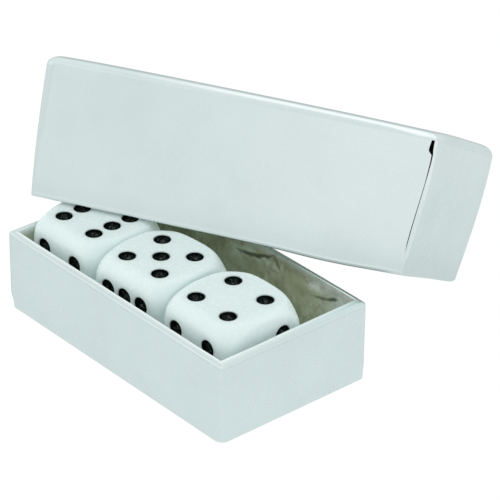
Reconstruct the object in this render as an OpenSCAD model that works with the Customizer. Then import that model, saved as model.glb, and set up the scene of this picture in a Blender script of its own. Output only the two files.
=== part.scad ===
// Small metal dice box: an open tray with three dice, and a loose lid
// propped across the dice with its back edge on the table.
// Units are millimetres, +Z is up. X runs along the tray's length, left to
// right in the photo, and Y runs from the front wall to the back wall.
// The origin is the middle of the tray's flat bottom.

/* [Tray] */
// outer length of the tray
tray_length = 53.5; // [53.5:0.1:60]
// outer width of the tray, front to back
tray_width = 29.7; // [27.5:0.1:32]
// height of the tray's walls
tray_height = 14.1; // [11:0.1:15]
// thickness of the tray's walls, as its folded rim shows it
tray_wall = 1.2; // [0.9:0.05:1.2]
// bend radius outside, along the tray's bottom edges
tray_bend = 0.4; // [0.3:0.1:1.2]
// radius of the tray's four upright corners
tray_corner = 0.4; // [0.3:0.1:1]

/* [Sheet] */
// thickness of the lid's sheet and of the tray's bottom
sheet = 0.9; // [0.7:0.05:1]

/* [Lid] */
// outer length of the lid at its open rim
lid_rim_length = 64.5; // [60:0.1:68]
// outer width of the lid at its open rim
lid_rim_width = 34.0; // [32.5:0.1:38]
// how much longer the lid is at its top than at its rim
lid_spread_length = 3.2; // [0.5:0.1:3.5]
// how much wider the lid is at its top than at its rim
lid_spread_width = 4.2; // [0.5:0.1:5]
// height of the lid, rim to top panel
lid_height = 23.4; // [20:0.1:26]
// bend radius outside, round the lid's top panel
lid_bend = 2.0; // [1.2:0.1:3]
// radius that eases the lid's upper corners
lid_corner = 2.2; // [1:0.1:3]

/* [Lid seam] */
// width of the open seam at the front right corner
seam_width = 0.3; // [0.2:0.05:0.5]
// where the open part of the seam starts above the rim
seam_from = 5.5; // [3:0.5:10]
// height of the relief notch at the seam's upper end
notch_height = 2.2; // [1:0.1:3]
// width of the relief notch
notch_width = 0.9; // [0.5:0.05:1.2]

/* [Lid position] */
// turn of the propped lid about the upright axis, degrees
lid_turn = 26.93; // [20:0.1:32]
// front rim centre of the lid, along the tray
lid_x = -0.4; // [-1.7:0.1:1.3]
// front rim centre of the lid, across the tray
lid_y = 6.1; // [4.8:0.1:7.8]
// gap kept between the lid's rim and the left die
lid_gap = 0.15; // [0.1:0.05:0.5]

/* [Dice] */
// edge length of a die
die_size = 16; // [15.5:0.1:16]
// radius of a die's edges
die_edge = 0.8; // [0.6:0.1:2]
// radius of the ball that eases a die's corners
die_ball = 11.6; // [11.2:0.1:12]
// pip distance from the middle of a face
pip_offset = 3.78; // [3.4:0.02:3.9]
// radius of a pip
pip_radius = 1.54; // [1:0.01:1.6]
// depth of the pip recess
pip_depth = 0.55; // [0.4:0.05:0.8]
// thickness of the black filling in a pip
pip_fill = 0.35; // [0.2:0.05:0.35]

/* [Hidden] */
$fn = 64;
table_gap = 0.04;
die_z = sheet + 0.02;
die_top = die_z + die_size;
lid_tilt = asin((die_top + lid_gap - table_gap) / (lid_rim_width - sheet));
lid_z = table_gap + lid_rim_width * sin(lid_tilt);
// x, y and turn of each die
left_at = [-17.3, -3.9, 1.4];
middle_at = [-0.95, -3.9, 3.8];
right_at = [15.85, -3.7, 0.4];

// ---------- tray ----------

// profile with two rounded lower corners, from -half to +half, 0 to h
module cup_profile(half, h, r) {
    translate([-half, r]) square([2 * half, h - r]);
    translate([-half + r, 0]) square([2 * (half - r), r + 0.01]);
    for (s = [-1, 1]) translate([s * (half - r), r]) circle(r = r);
}

// plan with four rounded corners
module plan(l, w, r) {
    square([l - 2 * r, w], center = true);
    square([l, w - 2 * r], center = true);
    for (sx = [-1, 1], sy = [-1, 1])
        translate([sx * (l / 2 - r), sy * (w / 2 - r)]) circle(r = r);
}

module cup(l, w, h, rb, rc) {
    intersection() {
        translate([0, w / 2, 0]) rotate([90, 0, 0])
            linear_extrude(height = w) cup_profile(l / 2, h, rb);
        translate([-l / 2, 0, 0]) rotate([90, 0, 90])
            linear_extrude(height = l) cup_profile(w / 2, h, rb);
        linear_extrude(height = h) plan(l, w, rc);
    }
}

module tray() {
    color([0.83, 0.85, 0.85])
    difference() {
        cup(tray_length, tray_width, tray_height, tray_bend, tray_corner);
        translate([0, 0, sheet])
            cup(tray_length - 2 * tray_wall, tray_width - 2 * tray_wall,
                tray_height, 0.3, 0.3);
    }
}

// ---------- lid ----------

// profile that widens upwards, rim at 0, flat top at h, rounded top corners
module hood_profile(rim, top, h, r) {
    f = atan((top - rim) / 2 / h);
    xc = rim / 2 + (h - r) * tan(f) - r / cos(f);
    xt = xc + r * cos(f);
    zt = h - r - r * sin(f);
    polygon([[-rim / 2, 0], [rim / 2, 0], [xt, zt], [xc, h],
             [-xc, h], [-xt, zt]]);
    for (s = [-1, 1]) translate([s * xc, h - r]) circle(r = r);
}

module hood(rl, rw, tl, tw, h, r) {
    intersection() {
        translate([0, tw, 0]) rotate([90, 0, 0])
            linear_extrude(height = 2 * tw) hood_profile(rl, tl, h, r);
        translate([-tl, 0, 0]) rotate([90, 0, 90])
            linear_extrude(height = 2 * tl) hood_profile(rw, tw, h, r);
    }
}

// the lid with its front rim's middle at the origin, rim in the XY plane
module lid_shape() {
    top_l = lid_rim_length + lid_spread_length;
    top_w = lid_rim_width + lid_spread_width;
    // the inner hood starts 1 mm below the rim, on the same slopes
    sl = lid_spread_length / lid_height;
    sw = lid_spread_width / lid_height;
    ti = lid_height - sheet;
    translate([0, lid_rim_width / 2, 0])
    difference() {
        intersection() {
            hood(lid_rim_length, lid_rim_width, top_l, top_w,
                 lid_height, lid_bend);
            translate([0, 0, -1]) linear_extrude(height = lid_height + 2)
                plan(top_l, top_w, lid_corner);
        }
        translate([0, 0, -1])
            hood(lid_rim_length - 2 * sheet - sl, lid_rim_width - 2 * sheet - sw,
                 lid_rim_length - 2 * sheet + sl * ti,
                 lid_rim_width - 2 * sheet + sw * ti,
                 ti + 1, lid_bend - 0.7);
        seam_cut();
    }
}

// open seam along the front right corner, with its relief notch
module seam_cut() {
    ax = atan(lid_spread_width / 2 / lid_height);
    ay = atan(lid_spread_length / 2 / lid_height);
    top = lid_height - lid_bend - 0.4;
    translate([lid_rim_length / 2, -lid_rim_width / 2, 0])
    rotate([ax, ay, 0])
    rotate([0, 0, 45]) {
        translate([-2.2, -seam_width / 2, seam_from])
            cube([3.2, seam_width, top - seam_from]);
        translate([-2.2, -notch_width / 2, top - notch_height])
            cube([3.2, notch_width, notch_height]);
    }
}

module lid() {
    color([0.83, 0.85, 0.85])
    translate([lid_x, lid_y, lid_z])
    rotate([-lid_tilt, 0, lid_turn])
    lid_shape();
}

// ---------- dice ----------

module rounded_square(l, r) {
    square([l - 2 * r, l], center = true);
    square([l, l - 2 * r], center = true);
    for (sx = [-1, 1], sy = [-1, 1])
        translate([sx * (l / 2 - r), sy * (l / 2 - r)]) circle(r = r);
}

module die_block() {
    h = die_size;
    intersection() {
        translate([0, 0, -h / 2]) linear_extrude(height = h)
            rounded_square(h, die_edge);
        rotate([90, 0, 0]) translate([0, 0, -h / 2])
            linear_extrude(height = h) rounded_square(h, die_edge);
        rotate([0, 90, 0]) translate([0, 0, -h / 2])
            linear_extrude(height = h) rounded_square(h, die_edge);
        sphere(r = die_ball);
    }
}

// pip places for a value; way 0 or 1 turns two, three and six
function spots(n, way) =
    n == 1 ? [[0, 0]] :
    n == 2 ? (way == 0 ? [[-1, -1], [1, 1]] : [[-1, 1], [1, -1]]) :
    n == 3 ? (way == 0 ? [[-1, -1], [0, 0], [1, 1]]
                       : [[-1, 1], [0, 0], [1, -1]]) :
    n == 4 ? [[-1, -1], [-1, 1], [1, -1], [1, 1]] :
    n == 5 ? [[-1, -1], [-1, 1], [1, -1], [1, 1], [0, 0]] :
    (way == 0 ? [[-1, -1], [-1, 0], [-1, 1], [1, -1], [1, 0], [1, 1]]
              : [[-1, -1], [0, -1], [1, -1], [-1, 1], [0, 1], [1, 1]]);

// short cylinders in the pip places of all six faces, from depth a to b
// faces: [value, way] for +Z, -Z, +X, -X, +Y, -Y
module pip_set(faces, a, b) {
    for (k = [0:5]) {
        for (q = spots(faces[k][0], faces[k][1])) {
            u = q[0] * pip_offset;
            v = q[1] * pip_offset;
            low = die_size / 2 - a;
            if (k == 0) translate([u, v, low]) cylinder(r = pip_radius, h = a - b);
            if (k == 1) translate([u, v, -die_size / 2 + b])
                cylinder(r = pip_radius, h = a - b);
            if (k == 2) translate([low, u, v]) rotate([0, 90, 0])
                cylinder(r = pip_radius, h = a - b);
            if (k == 3) translate([-die_size / 2 + b, u, v]) rotate([0, 90, 0])
                cylinder(r = pip_radius, h = a - b);
            if (k == 4) translate([u, low + a - b, v]) rotate([90, 0, 0])
                cylinder(r = pip_radius, h = a - b);
            if (k == 5) translate([u, -low, v]) rotate([90, 0, 0])
                cylinder(r = pip_radius, h = a - b);
        }
    }
}

faces_left = [[6, 0], [1, 0], [5, 0], [2, 0], [3, 0], [4, 0]];
faces_middle = [[5, 0], [2, 0], [4, 0], [3, 0], [1, 0], [6, 1]];
faces_right = [[4, 0], [3, 0], [2, 0], [5, 0], [1, 0], [6, 0]];

module at_die(p) {
    translate([p[0], p[1], die_z + die_size / 2]) rotate([0, 0, p[2]]) children();
}

module die_body(faces) {
    color([0.94, 0.95, 0.93])
    difference() {
        die_block();
        pip_set(faces, pip_depth, -1);
    }
}

module die_fill(faces) {
    color([0.06, 0.07, 0.07])
    pip_set(faces, pip_depth, pip_depth - pip_fill);
}

module die_left() { at_die(left_at) die_body(faces_left); }
module die_middle() { at_die(middle_at) die_body(faces_middle); }
module die_right() { at_die(right_at) die_body(faces_right); }
module die_left_pips() { at_die(left_at) die_fill(faces_left); }
module die_middle_pips() { at_die(middle_at) die_fill(faces_middle); }
module die_right_pips() { at_die(right_at) die_fill(faces_right); }

tray();
lid();
die_left();
die_middle();
die_right();
die_left_pips();
die_middle_pips();
die_right_pips();
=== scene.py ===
import math

import bpy
import bmesh
import numpy as np
from mathutils import Matrix, Vector, noise


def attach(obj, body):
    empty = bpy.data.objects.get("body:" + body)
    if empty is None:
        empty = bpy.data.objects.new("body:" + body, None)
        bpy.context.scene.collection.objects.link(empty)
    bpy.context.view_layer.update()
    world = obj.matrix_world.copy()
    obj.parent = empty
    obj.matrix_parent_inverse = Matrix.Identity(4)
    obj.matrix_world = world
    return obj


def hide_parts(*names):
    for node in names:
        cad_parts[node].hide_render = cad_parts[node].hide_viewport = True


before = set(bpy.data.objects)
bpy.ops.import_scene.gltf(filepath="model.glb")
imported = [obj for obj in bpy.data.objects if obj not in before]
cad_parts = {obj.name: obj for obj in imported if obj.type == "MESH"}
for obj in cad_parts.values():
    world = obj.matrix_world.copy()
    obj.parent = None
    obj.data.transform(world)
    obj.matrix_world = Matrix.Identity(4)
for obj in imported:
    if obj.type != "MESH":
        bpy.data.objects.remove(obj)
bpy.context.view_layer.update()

MM = 0.001
scene = bpy.context.scene
coll = scene.collection

# ------------------------------------------------------------------ camera
AZ, EL, ROLL = math.radians(49.06), math.radians(30.23), math.radians(0.64)
DIST = 476.0 * MM
TARGET = Vector((6.58, 8.16, 16.91)) * MM


def make_camera():
    back = Vector((math.sin(AZ) * math.cos(EL), -math.cos(AZ) * math.cos(EL), math.sin(EL)))
    fwd = -back
    right = fwd.cross(Vector((0, 0, 1))).normalized()
    up = right.cross(fwd)
    c, s = math.cos(ROLL), math.sin(ROLL)
    r2 = c * right + s * up
    u2 = -s * right + c * up
    cam = bpy.data.cameras.new("camera")
    cam.sensor_width = 36.0
    cam.sensor_fit = "HORIZONTAL"
    cam.lens = 3000.0 / 500.0 * 36.0
    cam.clip_start, cam.clip_end = 0.01, 20.0
    cam.dof.use_dof = False
    ob = bpy.data.objects.new("camera", cam)
    coll.objects.link(ob)
    rot = Matrix((r2, u2, back)).transposed()
    ob.matrix_world = Matrix.Translation(TARGET + back * DIST) @ rot.to_4x4()
    scene.camera = ob


make_camera()

# ------------------------------------------------------------- mesh helpers


def smooth(a, b, x):
    t = min(1.0, max(0.0, (x - a) / (b - a)))
    return t * t * (3 - 2 * t)


def new_piece(name, verts, faces, mats, face_mats=None, sharp=35.0):
    me = bpy.data.meshes.new(name)
    me.from_pydata([tuple(v) for v in verts], [], faces)
    for m in mats:
        me.materials.append(m)
    if face_mats is not None:
        me.polygons.foreach_set("material_index", np.asarray(face_mats, np.int32))
    me.polygons.foreach_set("use_smooth", np.ones(len(me.polygons), bool))
    me.validate()
    me.update()
    me.set_sharp_from_angle(angle=math.radians(sharp))
    ob = bpy.data.objects.new(name, me)
    coll.objects.link(ob)
    return ob


def waviness(p, scale, seed):
    """Smooth low noise, about -1 to 1, for hand-worked sheet."""
    return noise.noise(Vector(p) * scale + Vector((seed, -seed, 2.0 * seed)))


def weld(verts, faces, fmat, eps=2e-4):
    """Joins vertices closer than eps (mm) and drops faces that collapse."""
    key, index, out = {}, [], []
    for v in verts:
        k = tuple(int(round(c / eps)) for c in v)
        if k not in key:
            key[k] = len(out)
            out.append(v)
        index.append(key[k])
    f2, m2 = [], []
    for f, m in zip(faces, fmat):
        g = []
        for i in f:
            j = index[i]
            if not g or g[-1] != j:
                g.append(j)
        if len(g) > 1 and g[0] == g[-1]:
            g.pop()
        if len(g) >= 3 and len(set(g)) == len(g):
            f2.append(tuple(g))
            m2.append(m)
    return out, f2, m2


def clean(ob):
    bm = bmesh.new()
    bm.from_mesh(ob.data)
    bmesh.ops.recalc_face_normals(bm, faces=bm.faces)
    bm.to_mesh(ob.data)
    bm.free()
    ob.data.update()


# ------------------------------------------------------------- materials


def mat(name):
    m = bpy.data.materials.new(name)
    m.use_nodes = True
    nt = m.node_tree
    nt.nodes.clear()
    out = nt.nodes.new("ShaderNodeOutputMaterial")
    bsdf = nt.nodes.new("ShaderNodeBsdfPrincipled")
    nt.links.new(bsdf.outputs["BSDF"], out.inputs["Surface"])
    return m, nt, bsdf


def node(nt, kind, **kw):
    n = nt.nodes.new(kind)
    for k, v in kw.items():
        setattr(n, k, v)
    return n


def obj_coords(nt, scale=(1, 1, 1), rot=(0, 0, 0)):
    tc = node(nt, "ShaderNodeTexCoord")
    mp = node(nt, "ShaderNodeMapping")
    mp.inputs["Scale"].default_value = scale
    mp.inputs["Rotation"].default_value = rot
    nt.links.new(tc.outputs["Object"], mp.inputs["Vector"])
    return mp.outputs["Vector"]


def noise_tex(nt, vec, scale, detail=2.0, rough=0.5, distortion=0.0):
    n = node(nt, "ShaderNodeTexNoise")
    n.inputs["Scale"].default_value = scale
    n.inputs["Detail"].default_value = detail
    n.inputs["Roughness"].default_value = rough
    n.inputs["Distortion"].default_value = distortion
    nt.links.new(vec, n.inputs["Vector"])
    return n.outputs["Fac"]


def ramp(nt, fac, stops):
    r = node(nt, "ShaderNodeValToRGB")
    e = r.color_ramp.elements
    e[0].position, e[0].color = stops[0][0], (*stops[0][1], 1)
    e[1].position, e[1].color = stops[-1][0], (*stops[-1][1], 1)
    for pos, col in stops[1:-1]:
        x = e.new(pos)
        x.color = (*col, 1)
    nt.links.new(fac, r.inputs["Fac"])
    return r.outputs["Color"]


def mrange(nt, fac, a, b, c, d):
    r = node(nt, "ShaderNodeMapRange")
    r.inputs["From Min"].default_value = a
    r.inputs["From Max"].default_value = b
    r.inputs["To Min"].default_value = c
    r.inputs["To Max"].default_value = d
    nt.links.new(fac, r.inputs["Value"])
    return r.outputs["Result"]


def mathn(nt, op, a, b):
    m = node(nt, "ShaderNodeMath", operation=op)
    for i, v in enumerate((a, b)):
        if isinstance(v, (int, float)):
            m.inputs[i].default_value = v
        else:
            nt.links.new(v, m.inputs[i])
    return m.outputs[0]


def mix_col(nt, fac, a, b, blend="MIX"):
    m = node(nt, "ShaderNodeMix", data_type="RGBA", blend_type=blend)
    for key, v in (("Factor", fac), ("A", a), ("B", b)):
        sock = next(s for s in m.inputs if s.name == key and s.type in
                    (("VALUE",) if key == "Factor" else ("RGBA",)))
        if isinstance(v, (int, float)):
            sock.default_value = v
        elif isinstance(v, tuple):
            sock.default_value = (*v, 1)
        else:
            nt.links.new(v, sock)
    return next(s for s in m.outputs if s.type == "RGBA")


def bump(nt, height, strength, distance, normal=None):
    b = node(nt, "ShaderNodeBump")
    b.inputs["Strength"].default_value = strength
    b.inputs["Distance"].default_value = distance
    nt.links.new(height, b.inputs["Height"])
    if normal is not None:
        nt.links.new(normal, b.inputs["Normal"])
    return b.outputs["Normal"]


def attr(nt, name):
    a = node(nt, "ShaderNodeAttribute")
    a.attribute_name = name
    return a.outputs["Fac"]


def scratch_height(nt):
    """Fine hair scratches in three directions, from stretched noise."""
    total = None
    for k, (rot, sc) in enumerate((((0.3, 0.2, 0.5), (9000, 260, 260)),
                                   ((1.1, -0.4, 1.9), (260, 8000, 260)),
                                   ((-0.7, 0.9, 2.6), (260, 260, 8000)))):
        v = obj_coords(nt, sc, rot)
        f = noise_tex(nt, v, 1.0, 1.0, 0.5, 0.15)
        f = mrange(nt, f, 0.62, 0.80, 0.0, 1.0)
        total = f if total is None else mathn(nt, "ADD", total, f)
    return total


def silver(name, tint, rough):
    """Polished plate: clean, faintly clouded, with hair scratches. A mesh attribute paints light and shade into
    the colour: above 0 a painted highlight towards near white, below 0 painted shade towards dark grey-green."""
    m, nt, b = mat(name)
    v = obj_coords(nt)
    cloud = noise_tex(nt, v, 95.0, 4.0, 0.55, 0.3)
    fine = noise_tex(nt, v, 900.0, 3.0, 0.6)
    smear = noise_tex(nt, obj_coords(nt, (160, 420, 260), (0.2, 0.5, 0.9)), 1.0, 3.0, 0.55)
    dark = tuple(c * 0.965 for c in tint)
    lite = tuple(min(1, c * 1.02) for c in tint)
    col = ramp(nt, cloud, [(0.30, dark), (0.52, tint), (0.75, lite)])
    painted_light_shade = attr(nt, "painted_light_shade")
    spread = mrange(nt, fine, 0.3, 0.7, 0.94, 1.0)
    up = mathn(nt, "MULTIPLY", mathn(nt, "MAXIMUM", painted_light_shade, 0.0), spread)
    down = mathn(nt, "MULTIPLY", mathn(nt, "MAXIMUM", mathn(nt, "MULTIPLY", painted_light_shade, -1.0), 0.0), spread)
    # painted highlight, then painted shade, from the mesh attribute
    col = mix_col(nt, up, col, (0.93, 0.99, 0.985))
    col = mix_col(nt, down, col, (0.16, 0.21, 0.19))
    nt.links.new(col, b.inputs["Base Color"])
    b.inputs["Metallic"].default_value = 1.0
    b.inputs["Specular Tint"].default_value = (0.80, 0.835, 0.83, 1.0)
    r = mathn(nt, "ADD", mrange(nt, smear, 0.3, 0.7, rough - 0.04, rough + 0.05),
              mrange(nt, fine, 0.3, 0.7, -0.015, 0.015))
    nt.links.new(r, b.inputs["Roughness"])
    h = mathn(nt, "MULTIPLY", scratch_height(nt), 0.35)
    n1 = bump(nt, noise_tex(nt, v, 120.0, 2.0, 0.5), 0.08, 0.0004)
    n2 = bump(nt, noise_tex(nt, v, 1500.0, 2.0, 0.5), 0.004, 0.00002, n1)
    n3 = bump(nt, h, 0.07, 0.000010, n2)
    nt.links.new(n3, b.inputs["Normal"])
    return m


def inside_metal(name, painted_light_and_shade_marks=()):
    """The unpolished inside: grey silver where the mask attribute is 0, mottled olive-brown where it is 1; the
    mask is partly tarnish and partly painted shade. The painted marks are painted reflections, highlights and
    shade, each given by its centre x and z in mm, half length, half thickness, slope, curvature, amount and
    colour."""
    m, nt, b = mat(name)
    v = obj_coords(nt)
    cloud = noise_tex(nt, v, 150.0, 5.0, 0.6, 0.8)
    blot = noise_tex(nt, v, 420.0, 4.0, 0.65, 1.2)
    streak = noise_tex(nt, obj_coords(nt, (120, 120, 900), (0.0, 0.5, 0.3)), 1.0, 3.0, 0.6)
    olive_tarnish_and_shade = ramp(nt, cloud, [(0.28, (0.36, 0.37, 0.23)), (0.5, (0.58, 0.62, 0.45)),
                           (0.70, (0.78, 0.86, 0.73))])
    olive_tarnish_and_shade = mix_col(nt, mrange(nt, blot, 0.50, 0.72, 0.0, 0.55), olive_tarnish_and_shade, (0.24, 0.21, 0.12))
    clean_ = ramp(nt, cloud, [(0.3, (0.84, 0.91, 0.89)), (0.7, (0.92, 0.97, 0.96))])
    col = mix_col(nt, attr(nt, "tarnish_and_shade"), clean_, olive_tarnish_and_shade)
    for cx, cz, half, thick, slope, curve, amount, shade in painted_light_and_shade_marks:
        # a soft painted mark of light and shade along a sloping, slightly curved line on the back wall
        sep = node(nt, "ShaderNodeSeparateXYZ")
        nt.links.new(v, sep.inputs["Vector"])
        dx = mathn(nt, "SUBTRACT", mathn(nt, "MULTIPLY", sep.outputs["X"], 1000.0), cx)
        dz = mathn(nt, "SUBTRACT", mathn(nt, "MULTIPLY", sep.outputs["Z"], 1000.0), cz)
        line = mathn(nt, "ADD", mathn(nt, "MULTIPLY", dx, slope),
                     mathn(nt, "MULTIPLY", mathn(nt, "MULTIPLY", dx, dx), curve))
        w = mathn(nt, "DIVIDE", mathn(nt, "SUBTRACT", dz, line), thick)
        w = mathn(nt, "ADD", w, mrange(nt, blot, 0.3, 0.7, -0.5, 0.5))
        u = mathn(nt, "DIVIDE", dx, half)
        r2 = mathn(nt, "ADD", mathn(nt, "MULTIPLY", u, u), mathn(nt, "MULTIPLY", w, w))
        near = mrange(nt, mathn(nt, "SUBTRACT", sep.outputs["Y"], 0.0120), 0.0, 0.001, 0.0, 1.0)
        f = mathn(nt, "MULTIPLY", mrange(nt, r2, 0.2, 1.3, amount, 0.0), near)
        col = mix_col(nt, f, col, shade)
    nt.links.new(col, b.inputs["Base Color"])
    b.inputs["Metallic"].default_value = 0.30
    nt.links.new(mrange(nt, streak, 0.3, 0.7, 0.42, 0.58), b.inputs["Roughness"])
    n1 = bump(nt, noise_tex(nt, v, 160.0, 2.0, 0.5), 0.3, 0.0006)
    n2 = bump(nt, streak, 0.2, 0.00005, n1)
    nt.links.new(n2, b.inputs["Normal"])
    return m


def die_plastic(name):
    m, nt, b = mat(name)
    v = obj_coords(nt)
    cloud = noise_tex(nt, v, 130.0, 3.0, 0.5)
    fine = noise_tex(nt, v, 1800.0, 3.0, 0.6)
    col = ramp(nt, cloud, [(0.3, (0.648, 0.755, 0.748)), (0.7, (0.673, 0.775, 0.768))])
    nt.links.new(col, b.inputs["Base Color"])
    nt.links.new(mrange(nt, fine, 0.3, 0.7, 0.20, 0.32), b.inputs["Roughness"])
    b.inputs["IOR"].default_value = 1.49
    b.inputs["Specular IOR Level"].default_value = 0.25
    b.inputs["Subsurface Weight"].default_value = 0.65
    b.inputs["Subsurface Radius"].default_value = (1.0, 1.0, 1.0)
    b.inputs["Subsurface Scale"].default_value = 0.0022
    # a faint cyan glow: painted light that brightens the whole die
    b.inputs["Emission Color"].default_value = (0.83, 1.0, 0.99, 1.0)
    b.inputs["Emission Strength"].default_value = 0.07
    n1 = bump(nt, noise_tex(nt, v, 300.0, 2.0, 0.5), 0.04, 0.0002)
    n2 = bump(nt, fine, 0.012, 0.00002, n1)
    nt.links.new(n2, b.inputs["Normal"])
    return m


def pip_paint(name):
    """Black paint in a dished recess, with a painted highlight: lighter and mottled towards the middle."""
    m, nt, b = mat(name)
    v = obj_coords(nt)
    cloud = noise_tex(nt, v, 2600.0, 3.0, 0.6)
    # a lighter mottled centre: painted highlight
    centre_highlight = mathn(nt, "MULTIPLY", mrange(nt, attr(nt, "rad"), 0.15, 0.75, 1.0, 0.0),
                 mrange(nt, cloud, 0.48, 0.64, 0.0, 1.0))
    col = mix_col(nt, centre_highlight, (0.0012, 0.0026, 0.0022), (0.085, 0.115, 0.098))
    nt.links.new(col, b.inputs["Base Color"])
    nt.links.new(mrange(nt, cloud, 0.3, 0.7, 0.22, 0.42), b.inputs["Roughness"])
    b.inputs["Specular IOR Level"].default_value = 0.0
    nt.links.new(bump(nt, cloud, 0.35, 0.00006), b.inputs["Normal"])
    return m


# the tray's silver is a little darker than the lid's: painted shade on the same metal
tray_out = silver("tray_silver", (0.615, 0.715, 0.715), 0.28)
lid_out = silver("lid_silver", (0.640, 0.735, 0.735), 0.28)
# painted marks on the back wall: four dark painted reflections of the dice, two painted highlights and a wide
# painted band of shade along its top
tray_in = inside_metal("tray_inside_metal", (
    (16.8, 12.7, 3.2, 1.3, 0.30, 0.0, 0.75, (0.95, 1.0, 0.96)),
    (8.0, 14.0, 26.0, 2.0, 0.0, 0.0, 0.48, (0.20, 0.22, 0.13)),
    (3.0, 13.3, 5.0, 0.7, 0.10, 0.0, 0.35, (0.80, 0.84, 0.74)),
    (1.3, 11.45, 5.0, 0.42, 0.30, 0.025, 0.85, (0.05, 0.06, 0.03)),
    (6.6, 12.2, 1.0, 0.8, -1.0, 0.0, 0.60, (0.08, 0.09, 0.05)),
    (18.2, 10.95, 3.2, 0.34, 0.30, 0.02, 0.70, (0.10, 0.13, 0.09)),
    (20.0, 11.75, 1.1, 0.40, 0.40, 0.0, 0.80, (0.06, 0.08, 0.05)),
))
lid_in = inside_metal("lid_inside_metal")
die_white = die_plastic("die_white_plastic")
pip_black = pip_paint("pip_black_paint")


def seam_shade_metal(name):
    """Painted shade: near-black metal that stands in for the dark inside of the open corner seam."""
    m, nt, b = mat(name)
    v = obj_coords(nt)
    cloud = noise_tex(nt, v, 900.0, 3.0, 0.6)
    col = ramp(nt, cloud, [(0.3, (0.0015, 0.0020, 0.0020)), (0.7, (0.005, 0.006, 0.005))])
    nt.links.new(col, b.inputs["Base Color"])
    nt.links.new(mrange(nt, cloud, 0.3, 0.7, 0.7, 0.9), b.inputs["Roughness"])
    b.inputs["Specular IOR Level"].default_value = 0.0
    return m


seam_black = seam_shade_metal("lid_seam_painted_shade")

# ------------------------------------------------------------------ tray
SHEET = 0.9


def loop(x0, x1, y0, y1, radii, n_long, n_short, n_c, z):
    """Closed rounded rectangle, from the front right corner on, going up the
    right end, along the back, down the left end and along the front.
    radii: front right, back right, back left, front left."""
    corners = ((x1, y0, -90, radii[0]), (x1, y1, 0, radii[1]),
               (x0, y1, 90, radii[2]), (x0, y0, 180, radii[3]))
    counts = (n_short, n_long, n_short, n_long)
    pts = []
    sx = (-1, -1, 1, 1)
    sy = (1, -1, -1, 1)
    arcs = []
    for k, (cx, cy, a0, r) in enumerate(corners):
        ox, oy = cx + sx[k] * r, cy + sy[k] * r
        arc = []
        for j in range(n_c + 1):
            a = math.radians(a0 + 90.0 * j / n_c)
            arc.append((ox + r * math.cos(a), oy + r * math.sin(a)))
        arcs.append(arc)
    for k in range(4):
        arc = arcs[k]
        nxt = arcs[(k + 1) % 4][0]
        pts += arc
        n = counts[k]
        ax, ay = arc[-1]
        for j in range(1, n):
            # finer steps near the ends, so bends stay crisp
            t = 0.5 - 0.5 * math.cos(math.pi * j / n)
            t = 0.6 * t + 0.4 * j / n
            pts.append((ax + (nxt[0] - ax) * t, ay + (nxt[1] - ay) * t))
    return [(p[0], p[1], z) for p in pts]


def connect(rings, closed=True):
    n = len(rings[0])
    verts = [v for r in rings for v in r]
    faces = []
    for k in range(len(rings) - 1):
        for i in range(n if closed else n - 1):
            j = (i + 1) % n
            faces.append((k * n + i, k * n + j, (k + 1) * n + j, (k + 1) * n + i))
    return verts, faces


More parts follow.
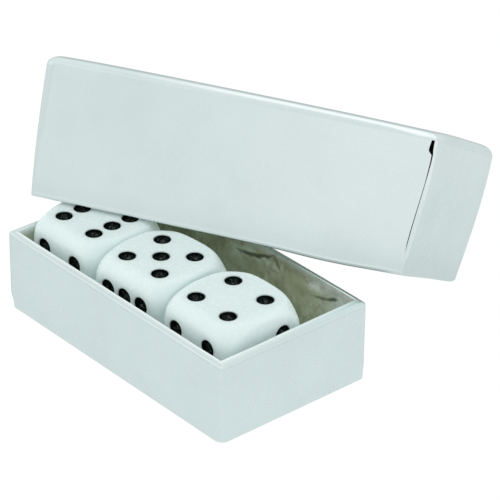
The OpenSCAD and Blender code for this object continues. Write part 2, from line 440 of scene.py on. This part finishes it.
def build_tray():
    L, W, H = 53.5 / 2, 29.7 / 2, 14.1
    WALL = 1.2
    rb = 0.2
    prof = []   # inset, z, extra corner radius, zone
    for d in (14.79, 13.0, 10.0, 7.0, 4.5, 3.0, 2.2):
        prof.append((d, 0.0, 1.0, "under"))
    for j in range(0, 9):
        t = math.radians(90 * j / 8)
        prof.append((rb * (1 - math.sin(t)), rb * (1 - math.cos(t)), 1.0, "bend"))
    for z in [0.4, 0.7, 1.1, 1.5, 2.0, 2.5, 3.0] + list(np.linspace(3.8, H - 1.0, 11)):
        prof.append((0.0, z, 1.0 - smooth(0.4, 3.0, z), "wall"))
    # the folded rim: a fine crease, a rounded shoulder, a flat top, an eased
    # inner edge
    prof += [(0.0, H - 0.82, 0.0, "wall"), (0.02, H - 0.74, 0.0, "crease"),
             (0.05, H - 0.68, 0.0, "crease"), (0.02, H - 0.62, 0.0, "crease")]
    for j in range(0, 9):
        t = math.radians(90 * j / 8)
        prof.append((0.50 * (1 - math.cos(t)) , H - 0.52 + 0.50 * math.sin(t), 0.0, "lip"))
    prof += [(0.60, H, 0.0, "lip"), (0.72, H, 0.0, "lip"), (0.86, H, 0.0, "lip"),
             (0.98, H, 0.0, "lip"), (1.08, H - 0.004, 0.0, "lip")]
    for j in range(1, 4):
        t = math.radians(90 * j / 3)
        prof.append((1.08 + 0.12 * math.sin(t), H - 0.004 - 0.12 * (1 - math.cos(t)), 0.0, "lip"))
    for z in np.linspace(H - 0.124, SHEET + 0.6, 12)[1:]:
        prof.append((WALL, z, 0.0, "in"))
    for j in range(1, 6):
        t = math.radians(90 * j / 5)
        prof.append((WALL + 0.6 * (1 - math.cos(t)), SHEET + 0.6 * (1 - math.sin(t)), 0.0, "in"))
    for d in (3.0, 4.5, 7.0, 10.0, 13.0, 14.79):
        prof.append((d, SHEET, 0.0, "in"))
    rings, zones = [], []
    base = (0.45, 0.45, 0.8, 0.35)
    for d, z, low, zone in prof:
        rad = [max(0.10, (r + g * low) - d) if zone != "in" else 0.25
               for r, g in zip(base, (1.1, 0.3, 0.5, 1.1))]
        rad = [min(r, W - d - 0.005 if W - d < 2.5 else r) for r in rad]
        rings.append(loop(-L + d, L - d, -W + d, W - d, rad, 64, 36, 7, z))
        zones.append(zone)
    n = len(rings[0])
    # slight unevenness of the walls, none at the corners or the foot
    out = []
    for ring, zone, (d, z, low, _) in zip(rings, zones, prof):
        r2 = []
        for (x, y, zz) in ring:
            k = smooth(0.5, 4.0, zz) if zone in ("wall", "crease", "lip", "in") else 0.0
            fx = smooth(0, 6, L - abs(x))
            fy = smooth(0, 6, W - abs(y))
            w = waviness((x, y, zz), 0.085, 3.1) * 0.07 + waviness((x, y, zz), 0.25, 8.7) * 0.018
            if abs(abs(x) - (L - d)) < 0.01:
                x += math.copysign(w * k * fy, x)
            if abs(abs(y) - (W - d)) < 0.01:
                y += math.copysign(w * k * fx, y)
            if zone == "lip":
                zz += 0.025 * waviness((x, y, 0), 0.11, 5.0)
                # at the front and the right end the folded edge slopes outwards
                lean = max(smooth(-W + d + 1.2, -W + d + 0.3, y) * smooth(-L, -L + 4, x),
                           smooth(L - d - 1.2, L - d - 0.3, x) * (1 - 0.75 * smooth(W - 3.5, W - 0.8, y)))
                if d <= 0.5:
                    zz -= 0.18 * lean * (z - (H - 0.52)) / 0.50
                else:
                    zz -= 0.18 * lean * max(0.0, (1.08 - d) / 0.58)
            if d > 0.6 and y > W - d - 0.3:
                # the back wall's sheet is thinner than the front's
                y += 0.28 * smooth(0.6, 1.2, d) * (1 - smooth(1.8, 4.0, d))
            if x > L - 4.0:
                x += 0.10 * smooth(L - 4.0, L - 1.2, x)
            if d > 0.6 and x > L - d - 0.35:
                # the right end's folded edge is broader, most so at the back
                x -= (0.35 + 0.32 * smooth(-W, W, y)) * smooth(0.55, 1.08, d) * (1 - smooth(1.8, 4.0, d))
            r2.append((x, y, zz))
        out.append(r2)
    verts, faces = connect(out)
    nr = len(out)
    faces.append(tuple(range(n)))
    faces.append(tuple(reversed(range((nr - 1) * n, nr * n))))
    fm = []
    for k in range(nr - 1):
        fm += [1 if zones[k + 1] == "in" else 0] * n
    fm += [0, 1]
    painted_light_shade = np.zeros(len(verts), np.float32)
    tarnish_and_shade = np.zeros(len(verts), np.float32)
    for k, (d, z, low, zone) in enumerate(prof):
        # painted shade, faint, in the crease below the rim
        if zone == "crease":
            painted_light_shade[k * n:(k + 1) * n] = -0.03
        # rim: painted shade on the back rim's outer shoulder; along its inner edge a painted highlight towards
        # the right end and painted shade towards the left; elsewhere a painted highlight growing towards the
        # inner edge, fainter on the left end
        if zone == "lip":
            for i, (x, y, zz) in enumerate(out[k]):
                if y > W - d - 0.2 and x < L - 1.5:
                    edge = 0.90 * smooth(15, 24, x) - 0.35 * (1 - smooth(6, 17, x))
                    painted_light_shade[k * n + i] = -0.55 if d < 0.7 else (edge - 0.3 if d < 0.9 else edge)
                else:
                    painted_light_shade[k * n + i] = 0.08 if d < 0.55 else 0.20 + 0.62 * smooth(0.66, 1.0, d)
                    if x < -L + d + 0.3:
                        painted_light_shade[k * n + i] *= 0.3
        # painted shade along the front left vertical edge
        if zone == "wall":
            for i, (x, y, zz) in enumerate(out[k]):
                if x < -L + 0.5 and y < -W + 0.5:
                    painted_light_shade[k * n + i] = -0.10
        # inside: olive-brown partly as tarnish, partly as painted shade: heavy on the back wall and the left
        # end, light at the front and the right end
        if zone == "in":
            for i, (x, y, zz) in enumerate(out[k]):
                tarnish_and_shade[k * n + i] = (0.12 + 0.88 * smooth(2.0, 9.0, y)) * (1 - 0.75 * smooth(15, 24, x))
                if x < -L + 1.5:
                    tarnish_and_shade[k * n + i] = max(tarnish_and_shade[k * n + i], 0.65)
    ob = new_piece("tray_shell", [Vector(v) * MM for v in verts], faces, [tray_out, tray_in], fm)
    a = ob.data.attributes.new("painted_light_shade", "FLOAT", "POINT")
    a.data.foreach_set("value", painted_light_shade)
    a = ob.data.attributes.new("tarnish_and_shade", "FLOAT", "POINT")
    a.data.foreach_set("value", tarnish_and_shade)
    clean(ob)
    return ob


# ------------------------------------------------------------------ lid
RL, RW, SL, SW, LH = 64.5, 34.0, 3.2, 4.2, 23.4
DIE_TOP = 16.92
TILT = math.asin((DIE_TOP + 0.15 - 0.04) / (RW - SHEET))
TURN = math.radians(26.93)
LID_M = (Matrix.Translation(Vector((-0.4, 6.1, 0.04 + RW * math.sin(TILT))))
         @ Matrix.Rotation(TURN, 4, "Z") @ Matrix.Rotation(-TILT, 4, "X"))

SEAM_X = 0.30       # the seam lies this far in from the corner, on the front


def lid_loop(d, z, rad, gap_front, gap_side=0.0):
    """Open path round the lid at height z, inset d, that starts and ends at
    the seam near the front right corner."""
    x1 = RL / 2 + SL / 2 * z / LH - d
    x0 = -x1
    y0 = -SW / 2 * z / LH + d
    y1 = RW + SW / 2 * z / LH - d
    pts = [(p[0], p[1]) for p in loop(x0, x1, y0, y1, rad, 72, 40, 6, z)]
    # the loop starts at the beginning of the front right arc, which lies on
    # the front wall at x1 - r; the seam is there
    sx = x1 - rad[0] - 0.36 * math.sin(math.pi * min(1.0, z / 18.5))
    first = (sx + gap_side, y0)
    last = (sx - gap_front, y0)
    pts[0] = first
    pts.append(last)
    # keep the last few steps of the front wall left of the gap
    m = len(pts)
    for j in range(2, 8):
        x, y = pts[m - j]
        if x > last[0] - 0.02 * j:
            pts[m - j] = (last[0] - 0.02 * j, y)
    return [(p[0], p[1], z) for p in pts]


def seam_gap(z):
    """Gap of the open seam at height z: a slit, and a relief notch on top."""
    notch = ((18.2, 0.20), (19.2, 0.24), (19.4, 0.46), (19.7, 0.80), (20.2, 0.80),
             (20.6, 0.74), (21.45, 0.60))
    if z > notch[-1][0]:
        return 0.0
    if z >= notch[0][0]:
        for (a, ga), (b, gb) in zip(notch[:-1], notch[1:]):
            if z <= b:
                return ga + (gb - ga) * (z - a) / (b - a)
    g = 0.105 + 0.035 * math.exp(-((z - 6.5) / 3.0) ** 2) + 0.095 * smooth(14.5, 18.2, z)
    return g * smooth(3.0, 5.4, z)


def build_lid():
    rt = 1.9
    zs = [0.25, 0.36, 0.48, 0.62, 0.80, 1.1, 1.7, 2.3, 3.2, 4.2]
    zs += list(np.linspace(4.2, 18.2, 17)[1:])
    zs += [18.6, 19.0, 19.1, 19.2, 19.35, 19.5, 19.8, 20.1, 20.5, 20.9, 21.2, 21.45]
    top = [z for z in (LH - rt,)]
    prof = []           # inset, z, zone
    prof.append((0.70, 0.0, "rim"))
    prof.append((0.45, 0.0, "rim"))
    prof.append((0.22, 0.0, "rim"))
    prof.append((0.10, 0.02, "rim"))
    prof.append((0.03, 0.07, "rim"))
    prof.append((0.0, 0.15, "rim"))
    for z in zs:
        prof.append((0.0, z, "wall"))
    nb = 12
    for j in range(nb + 1):
        t = math.radians(90 * j / nb)
        prof.append((rt * (1 - math.cos(t)), LH - rt + rt * math.sin(t), "bend"))
    for d in (2.3, 2.9, 3.8, 5.5, 8.0, 11.0, 14.0, 16.5, 18.4):
        prof.append((d, LH, "top"))
    outer = list(prof)
    ri = rt - SHEET
    inner = []
    for d in (18.4, 16.5, 14.0, 11.0, 8.0, 5.5, 3.8, 2.9, 2.3):
        inner.append((d, LH - SHEET, "ceil"))
    for j in range(nb, -1, -1):
        t = math.radians(90 * j / nb)
        inner.append((SHEET + ri * (1 - math.cos(t)), LH - rt + ri * math.sin(t), "ibend"))
    for z in reversed(zs):
        inner.append((SHEET, z, "iwall"))
    inner.append((SHEET, 0.18, "irim"))
    inner.append((0.84, 0.06, "irim"))
    every = outer + inner

    def radii(d, z, zone):
        up = z / LH
        r = (0.30 + 0.0 * up, 2.3, 1.6, 0.55 + 0.75 * up ** 2)
        if zone in ("bend", "top"):
            grow = min(1.0, d / rt)
            r = (0.30 + 1.5 * grow, 2.3 + 0.4 * grow, 1.6 + 0.5 * grow, 1.3 + 0.8 * grow)
            return [max(0.12, x - 0.25 * d) for x in r]
        if zone in ("ceil", "ibend", "iwall", "irim"):
            return [max(0.12, x - 0.6) for x in r]
        return list(r)

    rings = []
    for d, z, zone in every:
        rad = radii(d, z, zone)
        room = (RW + SW * z / LH) / 2 - d
        rad = [min(r, max(0.02, room * 0.8)) for r in rad]
        g = seam_gap(z) if zone in ("wall", "iwall") else 0.0
        rings.append(lid_loop(d, z, rad, g, -0.09 * smooth(19.3, 20.0, z) if g > 0 else 0.0))
    n = len(rings[0])

    def shape(p, d, zone):
        """The crowned top and slightly bellied walls of the real sheet."""
        x, y, z = p
        hx = RL / 2 + SL / 2 * z / LH
        hy = (RW + SW * z / LH) / 2
        cy = RW / 2
        ax = max(0.0, 1 - (x / hx) ** 2)
        ay = max(0.0, 1 - ((y - cy) / hy) ** 2)
        up = min(1.0, max(0.0, z / LH))
        back = min(1.0, max(0.0, y / RW))
        z0 = z
        w = waviness((x, y, z), 0.06, 1.7) * 0.10 + waviness((x, y, z), 0.22, 4.4) * 0.02
        # the top panel is flat; it sinks towards its front right corner
        sink = 0.68 * math.exp(-(hx - x) / 16.0) * math.exp(-max(0.0, y - cy + hy) / 9.0)
        sink += 0.36 * math.exp(-(hx + x) / 6.0) * math.exp(-max(0.0, y - cy + hy) / 12.0)
        if zone in ("top", "ceil"):
            z += 0.3 * w * ay - sink
        elif zone in ("bend", "ibend"):
            z -= sink * max(0.0, (z0 - (LH - rt)) / rt)
        # the front rim hangs a little lower towards its right end, and the
        # back right corner of the rim is eased
        if y - cy < 0:
            z -= (0.08 + 0.38 * math.exp(-((x - 20.0) / 9.0) ** 2)) * \
                (1 - smooth(0.0, 4.0, z0)) * smooth(0.0, hy - 2.0, cy - y)
        z += 0.6 * smooth(hx - 3.4, hx - 0.4, x + d) * smooth(hy - 4.5, hy - 0.4, y - cy + d) * \
            (1 - smooth(0.0, 5.0, z0))
        # belly of the walls
        by = 0.14 * math.sin(math.pi * up) * ax
        ky = smooth(hy - 3.0, hy - 0.5, abs(y - cy) + d)
        kx = smooth(hx - 3.0, hx - 0.5, abs(x) + d)
        y += math.copysign(by * ky, y - cy) + math.copysign(w * ky * ax * up, y - cy)
        if x > 0:
            dx = 0.1 * up * (1 - back) - 0.2 * up * back
            dx += 0.55 * math.sin(math.pi * up ** 1.3) * (1 - 0.25 * back)
            x += dx * smooth(0.4, 1.0, x / hx)
        else:
            dx = 0.22 * math.sin(math.pi * up ** 0.8) - 0.05 - 0.1 * up
            x -= dx * smooth(0.4, 1.0, -x / hx)
        x += math.copysign((w * up + 0.05 * math.sin(math.pi * up)) * kx * ay, x)
        return (x, y, z)

    rings2 = []
    for (d, z, zone), ring in zip(every, rings):
        rings2.append([shape(p, d, zone) for p in ring])
    verts = [v for r in rings2 for v in r]
    faces, fm = [], []
    inside = ("ceil", "ibend", "iwall", "irim")
    total = len(rings2)
    for k in range(total):
        k2 = (k + 1) % total
        if k == len(outer) - 1:
            continue            # between top and ceiling there is metal
        for i in range(n - 1):
            faces.append((k * n + i, k * n + i + 1, k2 * n + i + 1, k2 * n + i))
            fm.append(1 if every[k2][2] in inside and every[k][2] in inside else 0)
    # middle strips of the top and the ceiling
    k = len(outer) - 1
    faces.append(tuple(k * n + i for i in range(n - 1)))
    fm.append(0)
    k = len(outer)
    faces.append(tuple(k * n + i for i in reversed(range(n - 1))))
    fm.append(1)
    # cut edges of the sheet on both sides of the open seam, in the black painted-shade material
    wall_out = [i for i, e in enumerate(outer) if e[2] == "wall"]
    wall_in = [len(outer) + i for i, e in enumerate(inner) if e[2] == "iwall"][::-1]
    for a, b, c, e in zip(wall_out[:-1], wall_out[1:], wall_in[:-1], wall_in[1:]):
        ga, gb = seam_gap(every[a][1]), seam_gap(every[b][1])
        if ga <= 0 and gb <= 0:
            continue
        for i in (0, n - 1):
            faces.append((a * n + i, b * n + i, e * n + i, c * n + i))
            fm.append(2)
    # a black tab behind the seam, folded in from the end wall: painted shade that keeps the slit dark
    tab = []
    for z in (17.6, 22.3):
        x1 = RL / 2 + SL / 2 * z / LH + (0.30 if z < 20 else 0.16)
        y0 = -SW / 2 * z / LH + SHEET + 0.02
        for x, y in ((x1 - 0.92, y0), (x1 - 2.9, y0), (x1 - 2.9, y0 + 0.25), (x1 - 0.92, y0 + 0.25)):
            tab.append((x, y, z))
    b0 = len(verts)
    verts += tab
    for f in ((0, 1, 2, 3), (7, 6, 5, 4), (0, 4, 5, 1), (1, 5, 6, 2), (2, 6, 7, 3), (3, 7, 4, 0)):
        faces.append(tuple(b0 + i for i in f))
        fm.append(2)
    # painted light and shade on the lid's outside, stored as the mesh attribute that the silver material reads
    edge = np.zeros(len(verts), np.float32)
    for k, (d, z, zone) in enumerate(every):
        if zone in inside:
            continue
        up = z / LH
        for i in range(n):
            x, y, _ = rings[k][i]
            front = y < RW / 2 and y < -SW / 2 * up + d + 0.05
            arc_fr = i <= 6                         # front right corner
            hem = smooth(2, 14, x) * (1 - smooth(28.5, 31.8, x)) if front else 0.0
            right = x > RL / 2 - 0.6 and not front
            val = 0.0
            # painted shade: a dark line along the lower rim, darkest along the front
            if zone == "rim":
                val = -0.10 - 0.40 * hem
            elif zone == "wall":
                # front wall: a painted lighter band towards the right, painted shade at the foot with a painted
                # bright line above it
                if front:
                    val = 0.20 * smooth(-12, 22, x) * smooth(1.0, 7.0, z) - 0.05 * (1 - smooth(1.0, 4.0, z))
                    if z < 0.4:
                        val = -0.10 - 0.36 * hem
                    elif z < 0.7:
                        val += 0.08 + 0.10 * hem
                # end wall: painted lighter above, painted shade at the foot
                elif right:
                    val = 0.12 * smooth(0.3, 0.9, up) - 0.14 * (1 - smooth(0.0, 0.32, up))
                # painted highlight on the front right corner beside the seam, stronger higher up
                if arc_fr and z > 2.5:
                    val = 0.08 + 0.26 * smooth(8.0, 17.0, z)
                # painted highlight along the front wall's side of the seam
                if i >= n - 1 and z > 2.5:
                    val = max(val, 0.20)
                # painted shade on the front left edge
                if x < -RL / 2 + 0.4 and y < 3:
                    val -= 0.07
            # top bend: a painted highlight band along its front, painted shade on its far side
            elif zone == "bend":
                t = d / rt
                s = 0.22 + 0.70 * smooth(-22, 4, x)
                near = 1 - smooth(2.0, 9.0, math.hypot(x - RL / 2 - 1, y + SW / 2))
                low = smooth(0.08 * (1 - near), 0.20 - 0.15 * near, t)
                if front or near > 0:
                    val = s * low * (1 - smooth(0.32, 0.42, t)) * (1.0 if front else 0.45 * near)
                    val *= 1 - 0.35 * smooth(30.5, 33.0, x)
                val -= 0.36 * smooth(0.36, 0.48, t)
            # painted shade outlining the top beyond the bend
            elif zone == "top":
                val = -0.36 * (1 - smooth(rt, 5, d))
            edge[k * n + i] = val
    vals = {tuple(v): e for v, e in zip(verts, edge)}
    verts, faces, fm = weld(verts, faces, fm)
    edge = np.array([vals[tuple(v)] for v in verts], np.float32)
    ob = new_piece("lid_shell", [(LID_M @ (Vector(v))) for v in verts], faces, [lid_out, lid_in, seam_black], fm)
    for v in ob.data.vertices:
        v.co *= MM
    a = ob.data.attributes.new("painted_light_shade", "FLOAT", "POINT")
    a.data.foreach_set("value", edge)
    a = ob.data.attributes.new("tarnish_and_shade", "FLOAT", "POINT")
    a.data.foreach_set("value", np.full(len(verts), 0.35, np.float32))
    clean(ob)
    ob.data.set_sharp_from_angle(angle=math.radians(35))
    return ob


# ------------------------------------------------------------------ dice
D = 16.0
PIP_S, PIP_R, PIP_H = 3.78, 1.54, 0.52
SPOTS = {
    1: ([(0, 0)],) * 2,
    2: ([(-1, -1), (1, 1)], [(-1, 1), (1, -1)]),
    3: ([(-1, -1), (0, 0), (1, 1)], [(-1, 1), (0, 0), (1, -1)]),
    4: ([(-1, -1), (-1, 1), (1, -1), (1, 1)],) * 2,
    5: ([(-1, -1), (-1, 1), (1, -1), (1, 1), (0, 0)],) * 2,
    6: ([(-1, -1), (-1, 0), (-1, 1), (1, -1), (1, 0), (1, 1)],
        [(-1, -1), (0, -1), (1, -1), (-1, 1), (0, 1), (1, 1)]),
}
# normal, and the two in-face axes, for +Z -Z +X -X +Y -Y
FACES = (((0, 0, 1), (1, 0, 0), (0, 1, 0)), ((0, 0, -1), (1, 0, 0), (0, 1, 0)),
         ((1, 0, 0), (0, 1, 0), (0, 0, 1)), ((-1, 0, 0), (0, 1, 0), (0, 0, 1)),
         ((0, 1, 0), (1, 0, 0), (0, 0, 1)), ((0, -1, 0), (1, 0, 0), (0, 0, 1)))


def die_point(q, r_edge, r_ball, soft):
    h = D / 2
    # the edges towards the front are worn rounder
    r_edge += 1.5 * smooth(0.05, 0.85, -q[1] / h)
    i = h - r_edge
    c = Vector([max(-i, min(i, x)) for x in q])
    d = q - c
    p = c + d.normalized() * r_edge
    r = p.length
    # smooth minimum of r and the ball radius
    k = max(0.0, min(1.0, 0.5 + 0.5 * (r_ball - r) / soft))
    r2 = r_ball + (r - r_ball) * k - soft * k * (1 - k)
    return p * (r2 / r) if r > h * 1.02 else p


def die_mesh(r_edge=0.8, r_ball=11.62, soft=0.85, n=16, m=9):
    h = D / 2
    inner = h - 2.3
    half = [inner * i / n for i in range(n + 1)]
    half += [inner + (h - inner) * (i / m) ** 0.85 for i in range(1, m + 1)]
    line = [-x for x in reversed(half[1:])] + half
    k = len(line)
    verts, faces = [], []
    for nrm, a, b in FACES:
        nrm, a, b = Vector(nrm), Vector(a), Vector(b)
        base = len(verts)
        flip = nrm.dot(a.cross(b)) < 0
        for u in line:
            for v in line:
                q = nrm * h + a * u + b * v
                verts.append(tuple(die_point(q, r_edge, r_ball, soft)))
        for i in range(k - 1):
            for j in range(k - 1):
                p = base + i * k + j
                f = (p, p + k, p + k + 1, p + 1)
                faces.append(f[::-1] if flip else f)
    verts, faces, _ = weld(verts, faces, [0] * len(faces), 1e-4)
    # tumbling softens the creases a little
    pts = np.array(verts)
    quads = np.array(faces)
    e = np.concatenate([quads[:, [0, 1]], quads[:, [1, 2]], quads[:, [2, 3]], quads[:, [3, 0]]])
    for _ in range(2):
        acc = np.zeros_like(pts)
        cnt = np.zeros(len(pts))
        for i, j in ((0, 1), (1, 0)):
            np.add.at(acc, e[:, i], pts[e[:, j]])
            np.add.at(cnt, e[:, i], 1)
        avg = acc / cnt[:, None]
        r = np.linalg.norm(pts, axis=1)
        w = np.clip((r - 9.6) / 1.0, 0, 1)[:, None] * 0.5
        pts = pts * (1 - w) + avg * w
    return [tuple(p) for p in pts], faces


def cap_points(faces_spec):
    for (val, way), (nrm, a, b) in zip(faces_spec, FACES):
        for u, v in SPOTS[val][way]:
            yield Vector(nrm), Vector(a), Vector(b), u * PIP_S, v * PIP_S


def build_die(key, spec, at, ball):
    x, y, turn = at
    M = (Matrix.Translation(Vector((x, y, SHEET + 0.02 + D / 2)))
         @ Matrix.Rotation(math.radians(turn), 4, "Z"))
    verts, faces = die_mesh(r_ball=ball)
    body = new_piece(key + "_body", verts, faces, [die_white])
    # cutter: one dish-shaped plug for each pip
    R = (PIP_R ** 2 + PIP_H ** 2) / (2 * PIP_H)
    bm = bmesh.new()
    seg, rows = 40, 6
    for nrm, a, b, u, v in cap_points(spec):
        centre = nrm * (D / 2) + a * u + b * v
        ring = []
        low = bm.verts.new(centre - nrm * PIP_H)
        for k in range(1, rows + 2):
            r = PIP_R * min(k, rows) / rows
            h = R - math.sqrt(R * R - r * r) - PIP_H if k <= rows else 0.6
            ring.append([bm.verts.new(centre + nrm * h
                                      + (a * math.cos(t) + b * math.sin(t)) * r)
                         for t in (2 * math.pi * i / seg for i in range(seg))])
        for i in range(seg):
            j = (i + 1) % seg
            bm.faces.new((low, ring[0][i], ring[0][j]))
            for k in range(rows):
                bm.faces.new((ring[k][i], ring[k + 1][i], ring[k + 1][j], ring[k][j]))
        bm.faces.new(ring[-1])
    bmesh.ops.recalc_face_normals(bm, faces=bm.faces)
    cut = bpy.data.meshes.new(key + "_cut")
    bm.to_mesh(cut)
    bm.free()
    cutter = bpy.data.objects.new(key + "_cut", cut)
    coll.objects.link(cutter)
    mod = body.modifiers.new("pips", "BOOLEAN")
    mod.operation = "DIFFERENCE"
    mod.solver = "EXACT"
    mod.object = cutter
    bpy.context.view_layer.update()
    dg = bpy.context.evaluated_depsgraph_get()
    me = bpy.data.meshes.new_from_object(body.evaluated_get(dg))
    body.modifiers.clear()
    body.data = me
    bpy.data.objects.remove(cutter)
    me.materials.clear()
    me.materials.append(die_white)
    me.polygons.foreach_set("material_index", np.zeros(len(me.polygons), np.int32))
    me.polygons.foreach_set("use_smooth", np.ones(len(me.polygons), bool))
    me.set_sharp_from_angle(angle=math.radians(28))
    me.transform(Matrix.Scale(MM, 4) @ M)
    me.update()
    # paint: a thin dished disc in each recess
    pv, pf = [], []
    rings, seg = 7, 40
    for nrm, a, b, u, v in cap_points(spec):
        for depth, grow, up in ((PIP_H - 0.10, 0.985, True), (PIP_H - 0.005, 0.97, False)):
            rr = PIP_R * grow
            rs = (rr ** 2 + depth ** 2) / (2 * depth)
            base = len(pv)
            centre = nrm * (D / 2) + a * u + b * v
            low = 0.03
            pv.append(centre - nrm * (depth + (low if up else 0.03)))
            for k in range(1, rings + 1):
                r = rr * k / rings
                h = rs - math.sqrt(rs * rs - r * r)
                for s in range(seg):
                    t = 2 * math.pi * s / seg
                    pv.append(centre + (a * math.cos(t) + b * math.sin(t)) * r
                              + nrm * (h - depth - low))
            for s in range(seg):
                s2 = (s + 1) % seg
                pf.append((base, base + 1 + s, base + 1 + s2))
                for k in range(rings - 1):
                    p = base + 1 + k * seg
                    pf.append((p + s, p + seg + s, p + seg + s2, p + s2))
            if not up:
                top = base - (1 + rings * seg)
                for s in range(seg):
                    s2 = (s + 1) % seg
                    o = 1 + (rings - 1) * seg
                    pf.append((top + o + s, base + o + s, base + o + s2, top + o + s2))
    paint = new_piece(key + "_paint", pv, pf, [pip_black], sharp=40)
    rad = np.tile(np.concatenate([[0.0], np.repeat(np.arange(1, rings + 1) / rings, seg)]),
                  len(pv) // (1 + rings * seg)).astype(np.float32)
    at_ = paint.data.attributes.new("rad", "FLOAT", "POINT")
    at_.data.foreach_set("value", rad)
    clean(paint)
    paint.data.transform(Matrix.Scale(MM, 4) @ M)
    paint.data.update()
    return body, paint


tray = build_tray()
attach(tray, "tray_body")
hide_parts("tray")

lid = build_lid()
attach(lid, "lid_body")
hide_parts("lid")

DICE = {
    "die_left": (((6, 0), (1, 0), (5, 0), (2, 0), (3, 0), (4, 0)), (-17.3, -3.9, 1.4), 11.66),
    "die_middle": (((5, 0), (2, 0), (4, 0), (3, 0), (1, 0), (6, 1)), (-0.95, -3.9, 3.8), 11.62),
    "die_right": (((4, 0), (3, 0), (2, 0), (5, 0), (1, 0), (6, 0)), (15.85, -3.7, 0.4), 11.58),
}
for key, (spec, at, ball) in DICE.items():
    body, paint = build_die(key, spec, at, ball)
    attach(body, key + "_body")
    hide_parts(key)
    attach(paint, key + "_body")
    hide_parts(key + "_pips")

# ------------------------------------------------------------------ stage


def build_stage():
    me = bpy.data.meshes.new("floor")
    s = 4.0
    me.from_pydata([(-s, -s, 0), (s, -s, 0), (s, s, 0), (-s, s, 0)], [], [(0, 1, 2, 3)])
    floor = bpy.data.objects.new("floor", me)
    coll.objects.link(floor)
    m, nt, b = mat("floor_white")
    v = obj_coords(nt)
    col = ramp(nt, noise_tex(nt, v, 3.0, 2.0), [(0.3, (0.022, 0.022, 0.022)), (0.7, (0.030, 0.030, 0.030))])
    nt.links.new(col, b.inputs["Base Color"])
    b.inputs["Roughness"].default_value = 0.9
    b.inputs["Specular IOR Level"].default_value = 0.0
    # a lit white table, as under a product photograph
    b.inputs["Emission Color"].default_value = (1.0, 1.0, 1.0, 1.0)
    b.inputs["Emission Strength"].default_value = 1.0
    me.materials.append(m)

    w = bpy.data.worlds.new("studio")
    scene.world = w
    w.use_nodes = True
    nt = w.node_tree
    bg = nt.nodes["Background"]
    bg.inputs["Color"].default_value = (1.0, 1.0, 1.0, 1)
    bg.inputs["Strength"].default_value = 1.0

    def area(name, loc, size, energy, target=(0, 0, 0)):
        ld = bpy.data.lights.new(name, "AREA")
        ld.shape = "SQUARE"
        ld.size = size
        ld.energy = energy
        lo = bpy.data.objects.new(name, ld)
        coll.objects.link(lo)
        lo.location = loc
        d = Vector(target) - Vector(loc)
        lo.rotation_euler = d.to_track_quat("-Z", "Y").to_euler()
        return lo

    area("top_box", (-0.05, 0.25, 1.3), 0.5, 0.6)
    area("front_box", (-0.66, -0.79, 0.79), 0.9, 0.5)


build_stage()

scene.view_settings.view_transform = "Standard"
scene.view_settings.look = "None"
scene.view_settings.exposure = 0.0

bpy.context.view_layer.update()
